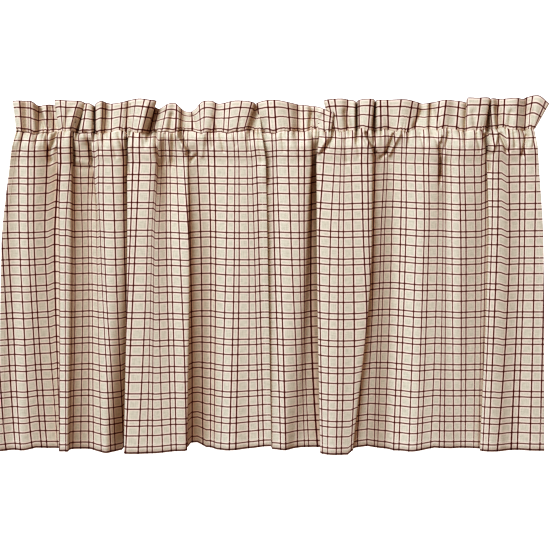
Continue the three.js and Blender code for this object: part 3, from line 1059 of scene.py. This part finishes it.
def dress_panel(side):
    """Makes one curtain's cloth as a skirt and a ruffle that share the gather stitch's row, thickens
    them, hangs them on the root body and hides the imported parts they replace."""
    cloth = bpy.context.scene.tier_curtain_cloth
    points, across, down = curtain_cloth(*PANELS[side])
    check = check_cloth_material(side + "_check", cloth, 0.0, FIRST_LEVEL * MM)
    groove = SKIRT_ROWS + POCKET_ROWS - 1
    both = (f"{side}_panel", f"{side}_heading")
    parts = {"skirt": (both, slice(0, groove + 1)), "ruffle": (both[1:], slice(groove, None))}
    for part, (replaced, rows) in parts.items():
        piece = grid_mesh(f"{side}_{part}", points[rows], across[rows], down[rows])
        piece.data.materials.append(check)
        solid = piece.modifiers.new("Thickness", "SOLIDIFY")
        solid.thickness = cloth.thickness
        solid.offset = 0.0
        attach(piece, "root")
        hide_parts(*replaced)


class TIER_OT_left_curtain(bpy.types.Operator):
    """Build the left curtain's cloth"""

    bl_idname = "tier.left_curtain"
    bl_label = "Left curtain"

    def execute(self, context):
        dress_panel("left")
        return {"FINISHED"}


class TIER_OT_right_curtain(bpy.types.Operator):
    """Build the right curtain's cloth"""

    bl_idname = "tier.right_curtain"
    bl_label = "Right curtain"

    def execute(self, context):
        dress_panel("right")
        return {"FINISHED"}


class TIER_OT_stage(bpy.types.Operator):
    """Build the floor, the lights and the camera"""

    bl_idname = "tier.stage"
    bl_label = "Stage"

    def execute(self, context):
        build_stage()
        return {"FINISHED"}


class TIER_PT_panel(bpy.types.Panel):
    """Lists the pieces of the curtain pair"""

    bl_idname = "TIER_PT_panel"
    bl_label = "Tier Curtains"
    bl_space_type = "VIEW_3D"
    bl_region_type = "UI"
    bl_category = "Tier Curtains"

    def draw(self, context):
        for operator in (TIER_OT_left_curtain, TIER_OT_right_curtain, TIER_OT_stage):
            self.layout.operator(operator.bl_idname)
        for name in TierCurtainCloth.__annotations__:
            self.layout.prop(context.scene.tier_curtain_cloth, name)


def put_in_scene(name, data):
    """An object of some data, linked to the scene."""
    made = bpy.data.objects.new(name, data)
    bpy.context.collection.objects.link(made)
    return made


def soft_light(name, place, aim, size, power, colour):
    """A square soft light at a place, facing an aim point."""
    data = bpy.data.lights.new(name, "AREA")
    data.size = size
    data.energy = power
    data.color = colour
    light = put_in_scene(name, data)
    light.location = place
    direction = Vector(aim) - Vector(place)
    light.rotation_euler = direction.to_track_quat("-Z", "Y").to_euler()


def build_floor():
    """A pale square floor below the hem."""
    mesh = bpy.data.meshes.new("floor")
    signs = ((-1, -1), (1, -1), (1, 1), (-1, 1))
    corners = [(FLOOR_HALF * right, FLOOR_HALF * back, FLOOR_Z) for right, back in signs]
    mesh.from_pydata(corners, [], [(0, 1, 2, 3)])
    floor = put_in_scene("floor", mesh)
    paint = bpy.data.materials.new("floor_paint")
    paint.use_nodes = True
    shader = paint.node_tree.nodes["Principled BSDF"]
    shader.inputs["Base Color"].default_value = (*FLOOR_COLOUR, 1.0)
    mesh.materials.append(paint)


def build_surround():
    """A world that lights the cloth with the fill and shows white to the camera."""
    world = bpy.data.worlds.new("studio")
    bpy.context.scene.world = world
    world.use_nodes = True
    nodes, links = world.node_tree.nodes, world.node_tree.links
    fill = nodes["Background"]
    fill.inputs["Color"].default_value = (*FILL_COLOUR, 1.0)
    fill.inputs["Strength"].default_value = FILL_STRENGTH
    paper = nodes.new("ShaderNodeBackground")
    paper.inputs["Color"].default_value = (1.0, 1.0, 1.0, 1.0)
    rays = nodes.new("ShaderNodeLightPath")
    choose = nodes.new("ShaderNodeMixShader")
    links.new(rays.outputs["Is Camera Ray"], choose.inputs[0])
    links.new(fill.outputs[0], choose.inputs[1])
    links.new(paper.outputs[0], choose.inputs[2])
    links.new(choose.outputs[0], nodes["World Output"].inputs["Surface"])


def build_stage():
    """The floor, the surround, the sun, soft lights and the photograph's camera."""
    scene = bpy.context.scene
    build_floor()
    build_surround()
    sun = bpy.data.lights.new("key", "SUN")
    sun.energy = SUN_STRENGTH
    sun.angle = SUN_ANGLE
    sun.color = SUN_COLOUR
    put_in_scene("key", sun).rotation_euler = SUN_TURN
    for name, settings in SOFT_LIGHTS.items():
        soft_light(name, *settings)
    data = bpy.data.cameras.new("camera")
    data.lens = LENS
    data.sensor_width = SENSOR_WIDTH
    data.sensor_fit = "HORIZONTAL"
    data.shift_y = SHIFT_Y
    camera = put_in_scene("camera", data)
    camera.location = (CAMERA_X, -CAMERA_DISTANCE * np.cos(CAMERA_PITCH),
                       AIM_Z + CAMERA_DISTANCE * np.sin(CAMERA_PITCH))
    camera.rotation_euler = (np.pi / 2 - CAMERA_PITCH, 0.0, 0.0)
    scene.camera = camera
    scene.view_settings.view_transform = "Standard"
    scene.view_settings.look = "Very High Contrast"


CLASSES = (TierCurtainCloth, TIER_OT_left_curtain, TIER_OT_right_curtain, TIER_OT_stage, TIER_PT_panel)


def register():
    for item in CLASSES:
        bpy.utils.register_class(item)
    bpy.types.Scene.tier_curtain_cloth = bpy.props.PointerProperty(type=TierCurtainCloth)


def unregister():
    del bpy.types.Scene.tier_curtain_cloth
    for item in reversed(CLASSES):
        bpy.utils.unregister_class(item)


def main():
    """Builds the pair and the stage."""
    register()
    bpy.ops.tier.left_curtain()
    bpy.ops.tier.right_curtain()
    bpy.ops.tier.stage()


if __name__ == "__main__":
    main()
